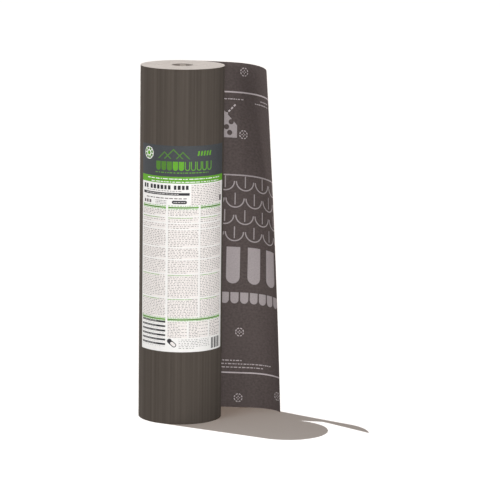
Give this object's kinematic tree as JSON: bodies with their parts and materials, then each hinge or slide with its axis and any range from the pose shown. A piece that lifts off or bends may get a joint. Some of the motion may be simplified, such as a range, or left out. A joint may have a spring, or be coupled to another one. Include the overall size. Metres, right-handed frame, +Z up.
{
  "type": "roll of roofing felt",
  "caption": "Upright roll of synthetic roofing felt wound on an open bore, its loose end standing behind and curling forwards, with a paper label on the front.",
  "frame": {"origin": "centre of the bounding box in plan, at the floor that the roll stands on", "axes": "+Z up along the roll's axis, -Y towards the label, +X towards the side where the loose end stands"},
  "size_m": [0.4326, 0.2514, 1.067],
  "materials": {
    "felt": "coated woven polypropylene sheet, dark brown-grey and matt outside, with pale edges at the wound ends",
    "label": "smooth printed paper, slightly glossy"
  },
  "bodies": {
    "root": {"felt_roll": "felt", "label": "label"}
  },
  "joints": []
}
